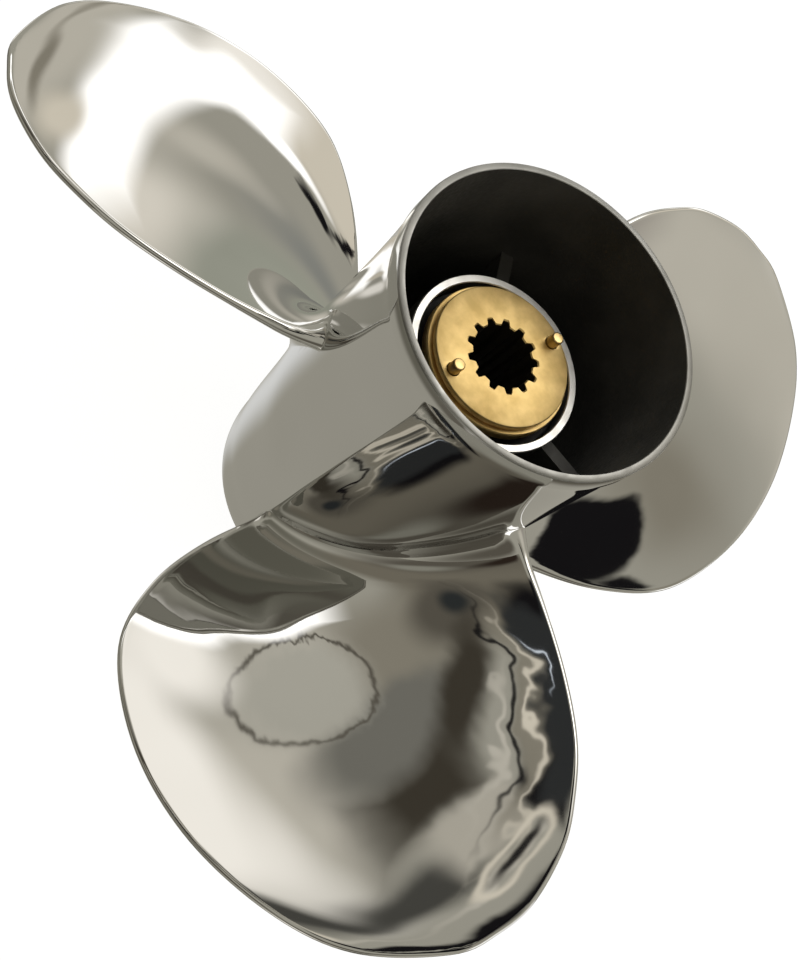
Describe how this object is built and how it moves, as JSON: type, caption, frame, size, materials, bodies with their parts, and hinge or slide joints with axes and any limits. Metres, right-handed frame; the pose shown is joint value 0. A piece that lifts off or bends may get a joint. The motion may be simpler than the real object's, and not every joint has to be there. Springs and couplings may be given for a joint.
{
  "type": "outboard motor propeller",
  "caption": "Right-hand marine propeller in polished stainless steel, with broad raked blades, a hollow exhaust hub, a rubber bush and a splined brass bush.",
  "frame": {"origin": "the propeller's centre of mass, on the shaft axis, 65.5 mm above the hub's forward end face", "axes": "+Z along the shaft axis, pointing aft to the exhaust mouth; the propeller stands on the forward end face of its hub"},
  "size_m": [0.2973, 0.3113, 0.1473],
  "materials": {
    "polished_steel": "mirror polished outside, satin as-cast inside the barrel",
    "black_rubber": "matt",
    "brass": "satin machined"
  },
  "bodies": {
    "root": {"propeller_casting": "polished_steel", "rubber_bush": "black_rubber", "splined_bush": "brass", "pin_1": "brass", "pin_2": "brass"}
  },
  "joints": []
}
